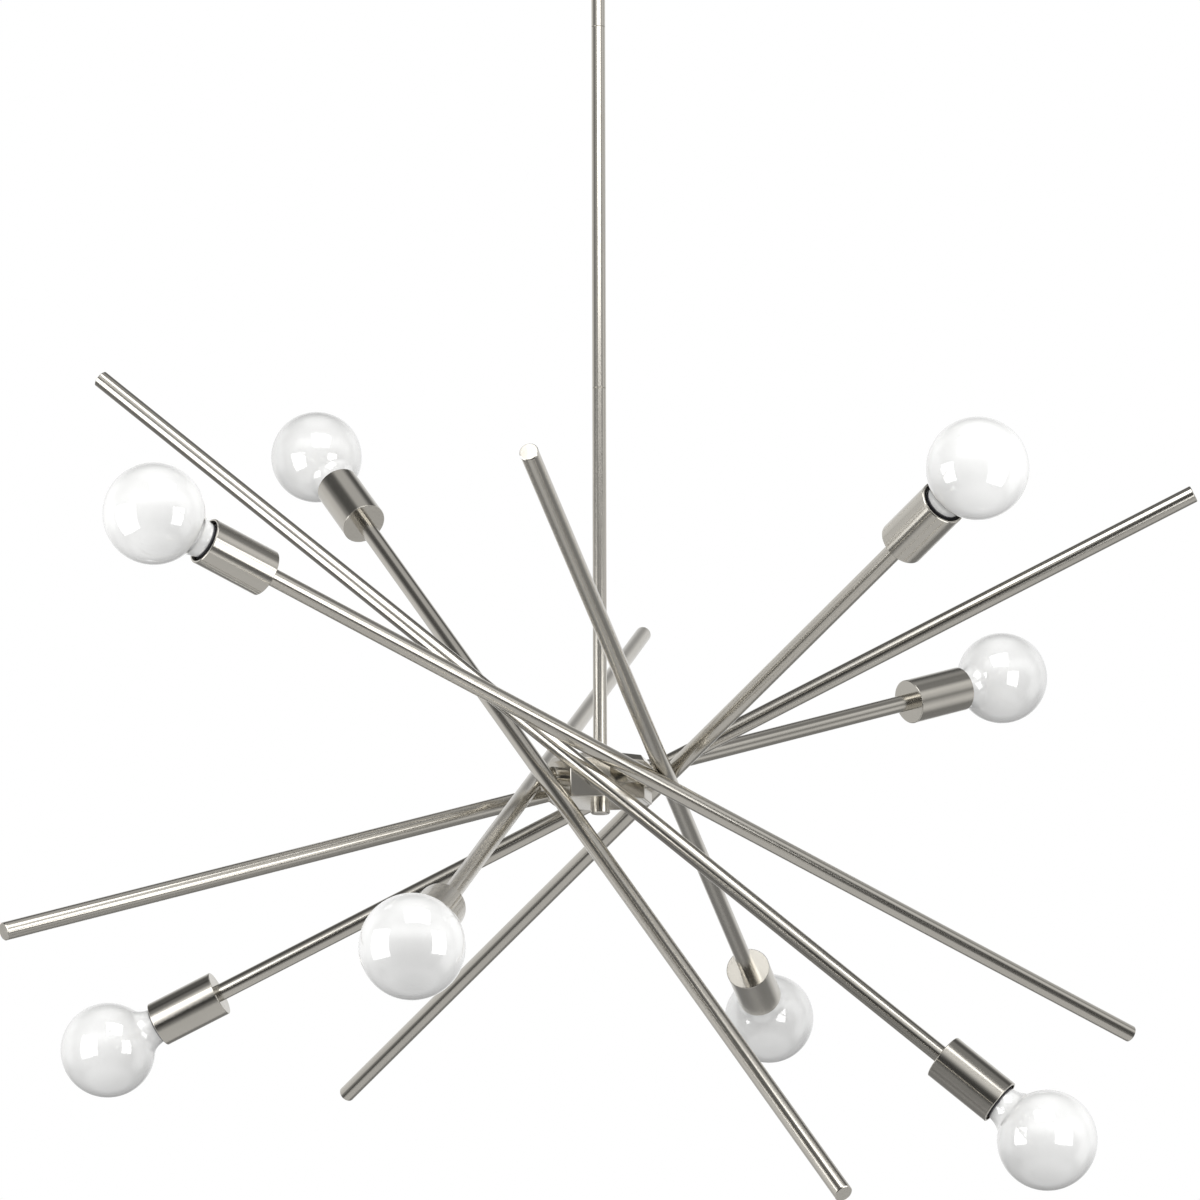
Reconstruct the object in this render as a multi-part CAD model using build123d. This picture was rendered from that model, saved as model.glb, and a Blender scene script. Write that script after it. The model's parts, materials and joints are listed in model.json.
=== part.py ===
from build123d import *
import math
import os

# An eight-lamp chandelier: straight rods turn on short pivots round an eight-sided hub,
# which hangs on a stem of three screwed lengths from a swivel under a ceiling canopy.
# Millimetres, +Z up. The origin is the middle of the crossbar's top face, on the ceiling.

# ---- clearances ----
PIVOT_CLEAR = 0.05       # radial clearance of a shaft that turns in its hole
SEAT_CLEAR = 0.05        # radial clearance of a fixed piece in its seat
TURN_GAP = 0.3           # gap between faces that turn past each other
OVERCUT = 1.0            # how far a cutting shape runs past the face it cuts

# ---- ceiling mount ----
CROSSBAR_LENGTH = 112.0
CROSSBAR_WIDTH = 25.0
CROSSBAR_THICK = 2.5
CROSSBAR_CORNER = 8.0
BOX_SCREW_SPACING = 88.9  # holes of a ceiling outlet box
BOX_SLOT_LENGTH = 12.0
BOX_SLOT_WIDTH = 5.0
STUD_SPACING = 56.0
STUD_DIA = 4.0
STUD_IN_NUT = 4.0
GROUND_SCREW_DIA = 4.0
GROUND_SCREW_X = 17.0
GROUND_HEAD_DIA = 8.0
GROUND_HEAD_HEIGHT = 2.6
DRIVER_SLOT = 1.0        # width and depth of the slot in its head

CANOPY_DIA = 127.0
CANOPY_DEPTH = 25.0
CANOPY_WALL = 1.2
CANOPY_ROUND = 9.0
CANOPY_HOLE_CLEAR = 0.4
CANOPY_NUT_DIA = 10.0
CANOPY_NUT_HEIGHT = 8.0
CANOPY_NUT_ROUND = 3.0

# ---- swivel ----
HOUSING_DIA = 18.0
HOUSING_THREAD_DIA = 13.0
HOUSING_DROP = 30.0      # ceiling to the underside of the swivel housing
SHANK_DIA = 7.0
SHANK_HEAD_DIA = 9.6
SHANK_HEAD_HEIGHT = 5.0
WIRE_BORE = 4.0
CLEVIS_DIA = 17.0
CLEVIS_ROOT = 8.0        # solid part of the fork above its slot
CLEVIS_SLOT = 6.0
EAR_RADIUS = 7.0
TONGUE_RADIUS = 7.0
TONGUE_ROOM = 1.5        # tongue to the root of the fork's slot
TILT_PIN_DIA = 5.0
TILT_PIN_INSET = 1.0     # end of the pin below the fork's side
KNUCKLE_DIA = 14.0
KNUCKLE_ROOM = 2.0       # ears to the knuckle's shoulder
KNUCKLE_SHOULDER = 7.0

# ---- stem ----
STEM_DIA = 11.5
STEM_BORE = 9.9
STEM_LONG = 311.0
STEM_SHORT = 156.0
STEM_EDGE = 0.3          # bevel that draws the thin line at each joint of the stem
COUPLER_LENGTH = 30.0
COUPLER_BORE = 6.0

# ---- hub ----
HUB_FLATS = 80.0         # across the flats of the eight-sided hub
HUB_TOP_FLATS = 74.0     # across the flats of its top face, inside the bevel
HUB_ABOVE = 18.0         # from the plane of the pivots up to the top face
HUB_BELOW = 18.5         # and down to the underside
HUB_BEVEL_HEIGHT = 5.0
HUB_CORNER = 1.5         # rounding of its upright edges
HUB_EDGE = 0.5
HUB_WALL = 2.5
HUB_PLATE = 2.0
HUB_TURN = 33.6          # first pivot, degrees from +X
WINDOW_WIDTH = 3.0       # opening in the hub's nipple that lets the wires out
WINDOW_HEIGHT = 6.0
FINIAL_DIA = 16.0
FINIAL_HEIGHT = 9.0
FINIAL_EDGE = 1.0
FINIAL_DEPTH = 4.5       # how far the nipple screws into it
NUT_FLATS = 14.0
NUT_HEIGHT = 4.0

# ---- pivots ----
ARM_OFFSET = 56.0        # rod axis to stem axis
COLLAR_DIA = 15.0
SEAT_DEPTH = 0.3         # spot face that a collar or a nut sits in
JOURNAL_DIA = 9.0
JOURNAL_PAST = 2.0       # how far the journal reaches past the rod's axis
PIVOT_BORE = 5.0
PIVOT_TAIL = 1.0         # thread showing past its nut

# ---- arms ----
ROD_DIA = 14.3
ROD_WALL = 1.2
ROD_LENGTH = 909.0       # plain end to the back of the lamp cup
ROD_PLAIN = 537.0        # plain end to the pivot
ROD_PLUG = 3.0
ROD_EDGE = 0.6
BLOCK_LENGTH = 26.0      # solid block brazed into the tube where it turns
ROD_WIRE_BORE = 5.0

CUP_DIA = 38.0
CUP_LENGTH = 58.5
CUP_WALL = 1.0
CUP_BACK = 1.6
CUP_EDGE = 0.5
SOCKET_GAP = 0.6         # socket to the cup's wall
SOCKET_RECESS = 4.6      # socket's rim behind the cup's mouth
SOCKET_FLOOR = 3.0
CHAMBER_DIA = 24.0       # space for the terminals behind the lamp
SHELL_THICK = 0.4
SHELL_INSET = 1.0        # screw shell behind the socket's rim
SPIGOT_LENGTH = 14.0     # socket's tail, inside the rod

BULB_DIA = 79.4
BULB_CENTRE = 47.7       # cup's mouth to the globe's centre
GLASS_WALL = 0.9
GLASS_SEAT = 3.0         # open end of the glass behind the cup's mouth
NECK_DIA = 29.0
NECK_ANGLE = 32.0        # where the neck meets the globe, degrees off the bulb's axis
BASE_DIA = 26.2
BASE_DEPTH = 25.0        # centre contact behind the cup's mouth
BASE_PITCH = 3.4
BASE_RIDGES = 4
BASE_GROOVE = 0.6
BASE_CLEAR = 0.15        # lamp base to the screw shell
BASE_FLARE = 1.2
CONTACT_DIA = 10.0
CONTACT_LENGTH = 4.0
CONTACT_TIP_DIA = 6.6

# Each arm: its turn off the even eighth, its tilt, and whether the lamp end points up.
ARM_SETTINGS = (
    (-0.2, 23.3, True),
    (-0.3, 25.4, False),
    (-0.4, 16.6, True),
    (0.2, 23.3, False),
    (1.4, 43.0, True),
    (0.6, 39.8, False),
    (-0.3, 20.0, True),
    (-0.8, 17.9, False),
)

# ---- places that follow from them ----
SIDES = len(ARM_SETTINGS)
EIGHTH = 360.0 / SIDES
SHANK_TOP_Z = -TURN_GAP
CLEVIS_TOP_Z = -(HOUSING_DROP + TURN_GAP)
TILT_PIN_Z = CLEVIS_TOP_Z - CLEVIS_ROOT - TONGUE_ROOM - TONGUE_RADIUS
SHOULDER_Z = TILT_PIN_Z - EAR_RADIUS - KNUCKLE_ROOM
STEM_TOP_Z = SHOULDER_Z - KNUCKLE_SHOULDER
JOINT_UPPER_Z = STEM_TOP_Z - STEM_SHORT
JOINT_LOWER_Z = JOINT_UPPER_Z - STEM_LONG
HUB_TOP_Z = JOINT_LOWER_Z - STEM_LONG
HUB_KNEE_Z = HUB_TOP_Z - HUB_BEVEL_HEIGHT
ARM_Z = HUB_TOP_Z - HUB_ABOVE
HUB_UNDER_Z = ARM_Z - HUB_BELOW
THREAD_RADIUS = STEM_BORE / 2 - SEAT_CLEAR
THREAD_HOLE_RADIUS = THREAD_RADIUS + SEAT_CLEAR
HUB_FACE = HUB_FLATS / 2 - SEAT_DEPTH               # where the collars sit
HUB_INNER_FACE = HUB_FLATS / 2 - HUB_WALL + SEAT_DEPTH  # where the pivots' nuts sit
ROD_BORE_RADIUS = ROD_DIA / 2 - ROD_WALL
CUP_START = ROD_LENGTH - ROD_PLAIN                  # pivot to the back of the cup
CUP_MOUTH = CUP_START + CUP_LENGTH
LAMP_TIP = CUP_MOUTH - BASE_DEPTH                   # pivot to the lamp's centre contact
GLOBE_CENTRE = CUP_MOUTH + BULB_CENTRE
SHELL_RADIUS = BASE_DIA / 2 + BASE_CLEAR + SHELL_THICK


def upright(radius, low, high, x=0.0):
    """An upright cylinder between two heights."""
    return Pos(x, 0, (low + high) / 2) * Cylinder(radius, high - low)


def along_x(radius, start, end):
    """A cylinder on the X axis."""
    return Pos((start + end) / 2, 0, 0) * Rot(0, 90, 0) * Cylinder(radius, end - start)


def along_y(radius, start, end, z=0.0):
    """A cylinder parallel to the Y axis at one height."""
    return Pos(0, (start + end) / 2, z) * Rot(90, 0, 0) * Cylinder(radius, end - start)


def lower_rim(solid):
    """The circles at the bottom of a turned piece."""
    return solid.edges().filter_by(GeomType.CIRCLE).group_by(Axis.Z)[0]


def near_rim(solid):
    """The circles at the low-X end of a piece turned on the X axis."""
    return solid.edges().filter_by(GeomType.CIRCLE).group_by(Axis.X)[0]


def octagon(flats, corner=0.0):
    """The hub's outline, with one side square to each pivot."""
    tip = flats / 2 / math.cos(math.radians(EIGHTH / 2))
    outline = RegularPolygon(tip, SIDES, rotation=HUB_TURN + EIGHTH / 2)
    return fillet(outline.vertices(), corner) if corner else outline


def octagon_prism(flats, low, high, corner=0.0):
    """A stretch of the hub with upright sides."""
    return Pos(0, 0, low) * extrude(octagon(flats, corner), high - low)


def octagon_taper(flats_low, flats_high, low, high, corner=0.0):
    """A stretch of the hub that narrows upwards."""
    lower = Pos(0, 0, low) * octagon(flats_low, corner)
    upper = Pos(0, 0, high) * octagon(flats_high, corner)
    return loft([lower, upper], ruled=True)


def hex_nut(bore_radius, low, high):
    """A hexagonal nut on the Z axis."""
    outline = RegularPolygon(NUT_FLATS / 2, 6, major_radius=False)
    body = Pos(0, 0, low) * extrude(outline, high - low)
    return body - upright(bore_radius, low - OVERCUT, high + OVERCUT)


# ---- ceiling mount ----
def ceiling_crossbar():
    low = -CROSSBAR_THICK
    bar = Pos(0, 0, low / 2) * Box(CROSSBAR_LENGTH, CROSSBAR_WIDTH, CROSSBAR_THICK)
    bar = fillet(bar.edges().filter_by(Axis.Z), CROSSBAR_CORNER)
    cut_low = low - OVERCUT
    slot = extrude(SlotOverall(BOX_SLOT_LENGTH, BOX_SLOT_WIDTH), OVERCUT - cut_low)
    for side in (-1, 1):
        bar -= Pos(side * BOX_SCREW_SPACING / 2, 0, cut_low) * slot
        bar -= upright(STUD_DIA / 2 + SEAT_CLEAR, cut_low, OVERCUT, x=side * STUD_SPACING / 2)
    bar -= upright(HOUSING_THREAD_DIA / 2 + SEAT_CLEAR, cut_low, OVERCUT)
    bar -= upright(GROUND_SCREW_DIA / 2 + SEAT_CLEAR, cut_low, OVERCUT, x=GROUND_SCREW_X)
    return bar


def canopy_studs():
    low = -CANOPY_DEPTH - STUD_IN_NUT
    sides = (-STUD_SPACING / 2, STUD_SPACING / 2)
    return Compound(children=[upright(STUD_DIA / 2, low, 0, x=side) for side in sides])


def ground_screw():
    seat = -CROSSBAR_THICK
    low = seat - GROUND_HEAD_HEIGHT
    shank = upright(GROUND_SCREW_DIA / 2, seat, 0, x=GROUND_SCREW_X)
    head = upright(GROUND_HEAD_DIA / 2, low, seat, x=GROUND_SCREW_X)
    slot = Pos(GROUND_SCREW_X, 0, low) * Box(2 * GROUND_HEAD_DIA, DRIVER_SLOT, 2 * DRIVER_SLOT)
    return shank + head - slot


def canopy():
    radius = CANOPY_DIA / 2
    outer = upright(radius, -CANOPY_DEPTH, 0)
    outer = fillet(lower_rim(outer), CANOPY_ROUND)
    inner = upright(radius - CANOPY_WALL, CANOPY_WALL - CANOPY_DEPTH, OVERCUT)
    inner = fillet(lower_rim(inner), CANOPY_ROUND - CANOPY_WALL)
    dish = outer - inner
    cut_low = -CANOPY_DEPTH - OVERCUT
    dish -= upright(HOUSING_DIA / 2 + CANOPY_HOLE_CLEAR, cut_low, 0)
    for side in (-1, 1):
        dish -= upright(STUD_DIA / 2 + CANOPY_HOLE_CLEAR, cut_low, 0, x=side * STUD_SPACING / 2)
    return dish


def canopy_nuts():
    top = -CANOPY_DEPTH
    nuts = []
    for side in (-1, 1):
        x = side * STUD_SPACING / 2
        knob = upright(CANOPY_NUT_DIA / 2, top - CANOPY_NUT_HEIGHT, top, x=x)
        knob = fillet(lower_rim(knob), CANOPY_NUT_ROUND)
        bore_low = top - STUD_IN_NUT - SEAT_CLEAR
        nuts.append(knob - upright(STUD_DIA / 2 + SEAT_CLEAR, bore_low, top, x=x))
    return Compound(children=nuts)


def swivel_housing():
    floor = SHANK_TOP_Z - SHANK_HEAD_HEIGHT - TURN_GAP
    body = upright(HOUSING_DIA / 2, -HOUSING_DROP, -CROSSBAR_THICK)
    body += upright(HOUSING_THREAD_DIA / 2, -HOUSING_DROP, 0)
    body -= upright(SHANK_DIA / 2 + PIVOT_CLEAR, -HOUSING_DROP - OVERCUT, OVERCUT)
    return body - upright(SHANK_HEAD_DIA / 2 + PIVOT_CLEAR, floor, OVERCUT)


# ---- swivel ----
def swivel_clevis():
    fork = upright(CLEVIS_DIA / 2, TILT_PIN_Z, CLEVIS_TOP_Z)
    ears = along_y(EAR_RADIUS, -CLEVIS_DIA / 2, CLEVIS_DIA / 2, TILT_PIN_Z)
    fork += ears & upright(CLEVIS_DIA / 2, TILT_PIN_Z - EAR_RADIUS, CLEVIS_TOP_Z)
    slot_top = CLEVIS_TOP_Z - CLEVIS_ROOT
    slot_low = TILT_PIN_Z - EAR_RADIUS - OVERCUT
    slot = Box(2 * CLEVIS_DIA, CLEVIS_SLOT, slot_top - slot_low)
    fork -= Pos(0, 0, (slot_top + slot_low) / 2) * slot
    fork -= along_y(TILT_PIN_DIA / 2 + SEAT_CLEAR, -CLEVIS_DIA, CLEVIS_DIA, TILT_PIN_Z)
    fork += upright(SHANK_DIA / 2, CLEVIS_TOP_Z, SHANK_TOP_Z)
    fork += upright(SHANK_HEAD_DIA / 2, SHANK_TOP_Z - SHANK_HEAD_HEIGHT, SHANK_TOP_Z)
    return fork - upright(WIRE_BORE / 2, slot_top - OVERCUT, OVERCUT)


def swivel_pin():
    half = CLEVIS_DIA / 2 - TILT_PIN_INSET
    return along_y(TILT_PIN_DIA / 2, -half, half, TILT_PIN_Z)


# ---- stem ----
def swivel_knuckle():
    half_width = CLEVIS_SLOT / 2 - TURN_GAP
    tongue = along_y(TONGUE_RADIUS, -half_width, half_width, TILT_PIN_Z)
    root = Box(2 * TONGUE_RADIUS, 2 * half_width, TILT_PIN_Z - SHOULDER_Z)
    tongue += Pos(0, 0, (TILT_PIN_Z + SHOULDER_Z) / 2) * root
    tongue = tongue & upright(KNUCKLE_DIA / 2, SHOULDER_Z, TILT_PIN_Z + TONGUE_RADIUS)
    body = tongue + upright(KNUCKLE_DIA / 2, STEM_TOP_Z, SHOULDER_Z)
    body += upright(THREAD_RADIUS, STEM_TOP_Z - COUPLER_LENGTH / 2, STEM_TOP_Z)
    body -= along_y(TILT_PIN_DIA / 2 + PIVOT_CLEAR, -KNUCKLE_DIA, KNUCKLE_DIA, TILT_PIN_Z)
    return body - upright(WIRE_BORE / 2, STEM_TOP_Z - COUPLER_LENGTH, TILT_PIN_Z)


def stem_tube(low, high):
    tube = upright(STEM_DIA / 2, low, high)
    tube = chamfer(tube.edges().filter_by(GeomType.CIRCLE), STEM_EDGE)
    return tube - upright(STEM_BORE / 2, low - OVERCUT, high + OVERCUT)


def stem_coupler(level):
    half = COUPLER_LENGTH / 2
    sleeve = upright(THREAD_RADIUS, level - half, level + half)
    return sleeve - upright(COUPLER_BORE / 2, level - COUPLER_LENGTH, level + COUPLER_LENGTH)


def stem_couplers():
    return Compound(children=[stem_coupler(level) for level in (JOINT_UPPER_Z, JOINT_LOWER_Z)])


# ---- hub ----
def hub_nipple():
    high = HUB_TOP_Z + COUPLER_LENGTH / 2
    nipple = upright(THREAD_RADIUS, HUB_UNDER_Z - FINIAL_DEPTH, high)
    nipple -= upright(COUPLER_BORE / 2, ARM_Z, high + OVERCUT)
    window = Box(2 * STEM_DIA, WINDOW_WIDTH, WINDOW_HEIGHT)
    return nipple - Pos(0, 0, ARM_Z + WINDOW_HEIGHT) * window


def hub_nuts():
    top = HUB_TOP_Z - HUB_PLATE
    floor = HUB_UNDER_Z + HUB_PLATE
    upper = hex_nut(THREAD_HOLE_RADIUS, top - NUT_HEIGHT, top)
    lower = hex_nut(THREAD_HOLE_RADIUS, floor, floor + NUT_HEIGHT)
    return Compound(children=[upper, lower])


def hub_shell():
    shell = octagon_prism(HUB_FLATS, HUB_UNDER_Z, HUB_KNEE_Z, HUB_CORNER)
    shell = chamfer(shell.faces().sort_by(Axis.Z)[0].edges(), HUB_EDGE)
    shell += octagon_taper(HUB_FLATS, HUB_TOP_FLATS, HUB_KNEE_Z, HUB_TOP_Z, HUB_CORNER)
    inner_flats = HUB_FLATS - 2 * HUB_WALL
    inner_top_flats = HUB_TOP_FLATS - 2 * HUB_WALL
    shell -= octagon_prism(inner_flats, HUB_UNDER_Z - OVERCUT, HUB_KNEE_Z)
    shell -= octagon_taper(inner_flats, inner_top_flats, HUB_KNEE_Z, HUB_TOP_Z - HUB_PLATE)
    shell -= upright(THREAD_HOLE_RADIUS, HUB_KNEE_Z, HUB_TOP_Z + OVERCUT)
    outer_seat = along_x(COLLAR_DIA / 2 + SEAT_CLEAR, HUB_FACE, HUB_FLATS)
    inner_seat = along_x(NUT_FLATS / 2 / math.cos(math.pi / 6) + SEAT_CLEAR, HUB_FLATS / 4, HUB_INNER_FACE)
    hole = along_x(JOURNAL_DIA / 2 + SEAT_CLEAR, HUB_FLATS / 4, HUB_FLATS)
    for index in range(SIDES):
        shell -= on_pivot(index, outer_seat)
        shell -= on_pivot(index, inner_seat)
        shell -= on_pivot(index, hole)
    return shell


def hub_base_plate():
    flats = HUB_FLATS - 2 * HUB_WALL - 2 * SEAT_CLEAR
    top = HUB_UNDER_Z + HUB_PLATE
    plate = octagon_prism(flats, HUB_UNDER_Z, top)
    return plate - upright(THREAD_HOLE_RADIUS, HUB_UNDER_Z - OVERCUT, top + OVERCUT)


def finial():
    knob = upright(FINIAL_DIA / 2, HUB_UNDER_Z - FINIAL_HEIGHT, HUB_UNDER_Z)
    knob = chamfer(lower_rim(knob), FINIAL_EDGE)
    return knob - upright(THREAD_HOLE_RADIUS, HUB_UNDER_Z - FINIAL_DEPTH - SEAT_CLEAR, HUB_UNDER_Z)


# ---- pivots ----
def pivot_azimuth(index):
    """Direction of one pivot, seen from above, in degrees from +X."""
    return HUB_TURN + EIGHTH * index + ARM_SETTINGS[index][0]


def on_pivot(index, piece):
    """Lays a piece made along +X from the stem's axis onto one pivot."""
    return Pos(0, 0, ARM_Z) * Rot(0, 0, pivot_azimuth(index)) * piece


def arm_pivots():
    tail = HUB_INNER_FACE - NUT_HEIGHT - PIVOT_TAIL
    collar_end = ARM_OFFSET - ROD_DIA / 2 - TURN_GAP
    stub = along_x(JOURNAL_DIA / 2, tail, ARM_OFFSET + JOURNAL_PAST)
    stub += along_x(COLLAR_DIA / 2, HUB_FACE, collar_end)
    stub -= along_x(PIVOT_BORE / 2, tail - OVERCUT, ARM_OFFSET + ROD_DIA)
    return Compound(children=[on_pivot(index, stub) for index in range(SIDES)])


def pivot_nuts():
    nut = Rot(0, 90, 0) * hex_nut(JOURNAL_DIA / 2 + SEAT_CLEAR, HUB_INNER_FACE - NUT_HEIGHT, HUB_INNER_FACE)
    return Compound(children=[on_pivot(index, nut) for index in range(SIDES)])


# ---- arms: made along +X with the pivot at the origin and the hub towards -Y ----
def arm_place(index, piece):
    """Moves a piece of an arm from the bench to its place on the chandelier."""
    _, tilt, lamp_up = ARM_SETTINGS[index]
    turn = math.radians(pivot_azimuth(index))
    rise = math.radians(tilt if lamp_up else -tilt)
    way = -1 if lamp_up else 1
    outward = Vector(math.cos(turn), math.sin(turn), 0)
    sideways = Vector(-math.sin(turn), math.cos(turn), 0) * way
    lampward = sideways * math.cos(rise) + Vector(0, 0, math.sin(rise))
    seat = Plane(
        origin=outward * ARM_OFFSET + Vector(0, 0, ARM_Z),
        x_dir=lampward,
        z_dir=lampward.cross(outward),
    )
    return piece.moved(seat.location)


def arm_rod():
    tube = along_x(ROD_DIA / 2, -ROD_PLAIN, CUP_START)
    tube = chamfer(near_rim(tube), ROD_EDGE)
    tube -= along_x(ROD_BORE_RADIUS, ROD_PLUG - ROD_PLAIN, -BLOCK_LENGTH / 2)
    tube -= along_x(ROD_BORE_RADIUS, BLOCK_LENGTH / 2, CUP_START + OVERCUT)
    journal_end = JOURNAL_PAST + TURN_GAP
    tube -= along_y(JOURNAL_DIA / 2 + PIVOT_CLEAR, -ROD_DIA, journal_end)
    return tube - along_x(ROD_WIRE_BORE / 2, 0, BLOCK_LENGTH)


def lamp_cup():
    cup = along_x(CUP_DIA / 2, CUP_START, CUP_MOUTH)
    cup = chamfer(near_rim(cup), CUP_EDGE)
    cup -= along_x(CUP_DIA / 2 - CUP_WALL, CUP_START + CUP_BACK, CUP_MOUTH + OVERCUT)
    return cup - along_x(ROD_BORE_RADIUS, CUP_START - OVERCUT, CUP_MOUTH)


def lamp_socket():
    outer = CUP_DIA / 2 - CUP_WALL - SOCKET_GAP
    bore = SHELL_RADIUS + SEAT_CLEAR
    back = CUP_START + CUP_BACK
    front = CUP_MOUTH - SOCKET_RECESS
    lamp_floor = LAMP_TIP - CONTACT_LENGTH
    chamber_end = lamp_floor - SOCKET_FLOOR
    body = along_x(outer, back, front)
    body += along_x(ROD_BORE_RADIUS - SEAT_CLEAR, CUP_START - SPIGOT_LENGTH, back)
    body -= along_x(bore, lamp_floor, front + OVERCUT)
    body -= along_x(CHAMBER_DIA / 2, back + SOCKET_FLOOR, chamber_end)
    body -= along_x(ROD_WIRE_BORE / 2, CUP_START - SPIGOT_LENGTH - OVERCUT, chamber_end)
    shell = along_x(SHELL_RADIUS, lamp_floor, front - SHELL_INSET)
    shell -= along_x(SHELL_RADIUS - SHELL_THICK, lamp_floor - OVERCUT, front)
    contact = along_x(CONTACT_TIP_DIA / 2, lamp_floor, LAMP_TIP - SEAT_CLEAR)
    return Compound(children=[body, shell, contact])


def bulb_base():
    crest = BASE_DIA / 2
    groove = crest - BASE_GROOVE
    thread = LAMP_TIP + CONTACT_LENGTH
    rim = CUP_MOUTH - GLASS_SEAT
    outline = [(LAMP_TIP, 0), (LAMP_TIP, CONTACT_TIP_DIA / 2)]
    outline += [(LAMP_TIP + CONTACT_LENGTH / 4, CONTACT_DIA / 2), (thread, groove)]
    for ridge in range(BASE_RIDGES):
        foot = thread + ridge * BASE_PITCH
        outline += [(foot + BASE_PITCH / 2, crest), (foot + BASE_PITCH, groove)]
    outline += [(rim - BASE_FLARE, groove), (rim, NECK_DIA / 2), (rim, 0)]
    return revolve(make_face(Polyline(outline, close=True)), Axis.X)


def glass_side(radius, neck):
    """Side of the glass from its open end to its top, as edges beside the X axis."""
    turn = math.radians(NECK_ANGLE)
    start = (CUP_MOUTH - GLASS_SEAT, neck)
    meet = (GLOBE_CENTRE - radius * math.cos(turn), radius * math.sin(turn))
    leave = (math.sin(turn), math.cos(turn))
    neck_side = Spline([start, meet], tangents=[(1, 0), leave])
    globe_side = ThreePointArc(meet, (GLOBE_CENTRE, radius), (GLOBE_CENTRE + radius, 0))
    return neck_side, globe_side


def bulb_glass():
    neck = NECK_DIA / 2
    outer_neck, outer_globe = glass_side(BULB_DIA / 2, neck)
    inner_neck, inner_globe = glass_side(BULB_DIA / 2 - GLASS_WALL, neck - GLASS_WALL)
    crown = Line(outer_globe @ 1, inner_globe @ 1)
    lip = Line(inner_neck @ 0, outer_neck @ 0)
    section = make_face([outer_neck, outer_globe, crown, inner_globe, inner_neck, lip])
    return revolve(section, Axis.X)


def fixed_pieces():
    """Every piece that isn't part of an arm, by name."""
    return {
        "ceiling_crossbar": ceiling_crossbar(),
        "canopy_studs": canopy_studs(),
        "ground_screw": ground_screw(),
        "canopy": canopy(),
        "canopy_nuts": canopy_nuts(),
        "swivel_housing": swivel_housing(),
        "swivel_clevis": swivel_clevis(),
        "swivel_pin": swivel_pin(),
        "swivel_knuckle": swivel_knuckle(),
        "stem_upper": stem_tube(JOINT_UPPER_Z, STEM_TOP_Z),
        "stem_middle": stem_tube(JOINT_LOWER_Z, JOINT_UPPER_Z),
        "stem_lower": stem_tube(HUB_TOP_Z, JOINT_LOWER_Z),
        "stem_couplers": stem_couplers(),
        "hub_nipple": hub_nipple(),
        "hub_nuts": hub_nuts(),
        "hub_shell": hub_shell(),
        "hub_base_plate": hub_base_plate(),
        "finial": finial(),
        "arm_pivots": arm_pivots(),
        "pivot_nuts": pivot_nuts(),
    }


def arm_pieces():
    """The pieces of one arm on the bench, by the last part of their name."""
    return {
        "rod": arm_rod(),
        "cup": lamp_cup(),
        "socket": lamp_socket(),
        "bulb_base": bulb_base(),
        "bulb_glass": bulb_glass(),
    }


def main():
    os.makedirs("parts", exist_ok=True)
    for name, piece in fixed_pieces().items():
        export_step(piece, f"parts/{name}.step")
    bench = arm_pieces()
    for index in range(SIDES):
        for part_name, piece in bench.items():
            export_step(arm_place(index, piece), f"parts/arm_{index + 1}_{part_name}.step")


main()
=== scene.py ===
"""Eight-lamp sputnik chandelier: turned satin nickel, opal globes and a white studio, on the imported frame."""
import json
import math

import bpy
from mathutils import Matrix, Vector

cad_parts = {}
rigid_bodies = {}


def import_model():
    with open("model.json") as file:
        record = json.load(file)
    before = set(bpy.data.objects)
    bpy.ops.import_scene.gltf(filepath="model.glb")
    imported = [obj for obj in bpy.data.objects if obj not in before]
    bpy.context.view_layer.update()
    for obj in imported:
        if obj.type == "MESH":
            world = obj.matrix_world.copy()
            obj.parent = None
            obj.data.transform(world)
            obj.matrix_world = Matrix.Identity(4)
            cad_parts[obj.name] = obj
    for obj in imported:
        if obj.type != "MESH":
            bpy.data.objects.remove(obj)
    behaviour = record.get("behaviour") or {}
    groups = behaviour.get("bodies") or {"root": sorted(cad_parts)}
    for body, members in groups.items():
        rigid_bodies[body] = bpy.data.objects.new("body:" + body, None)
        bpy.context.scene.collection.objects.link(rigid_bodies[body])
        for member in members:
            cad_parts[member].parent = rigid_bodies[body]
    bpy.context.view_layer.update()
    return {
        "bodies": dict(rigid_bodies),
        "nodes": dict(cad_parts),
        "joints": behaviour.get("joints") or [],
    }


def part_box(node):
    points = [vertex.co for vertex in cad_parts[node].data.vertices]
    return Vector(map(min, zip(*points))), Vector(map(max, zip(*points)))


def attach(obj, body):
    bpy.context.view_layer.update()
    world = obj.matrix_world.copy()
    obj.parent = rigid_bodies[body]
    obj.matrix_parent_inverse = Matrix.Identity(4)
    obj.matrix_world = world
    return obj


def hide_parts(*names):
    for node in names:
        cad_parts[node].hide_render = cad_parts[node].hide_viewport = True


bl_info = {
    "name": "Sputnik Chandelier",
    "version": (1, 0, 0),
    "blender": (4, 5, 0),
    "location": "View3D > Sidebar > Chandelier",
    "description": "Models and finishes an adjustable eight-lamp chandelier on its frame",
    "category": "Object",
}

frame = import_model()
JOINTS = {joint["name"]: joint for joint in frame["joints"]}
ARMS = sorted(name for name in frame["bodies"] if name.startswith("arm_"))
PIVOT_LEVEL = JOINTS[ARMS[0] + "_turn"]["pos_m"][2]
FULL_TURN = 2 * math.pi
EIGHTH = FULL_TURN / 8


def node_heights(name):
    """Lowest and highest level of a piece of the frame."""
    low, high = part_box(name)
    return low.z, high.z


# ---- sizes and finishes a maker would change ----
def length(name, default, about):
    """A size in metres."""
    return bpy.props.FloatProperty(
        name=name, description=about, default=default, min=0.0, precision=5, unit="LENGTH"
    )


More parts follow.
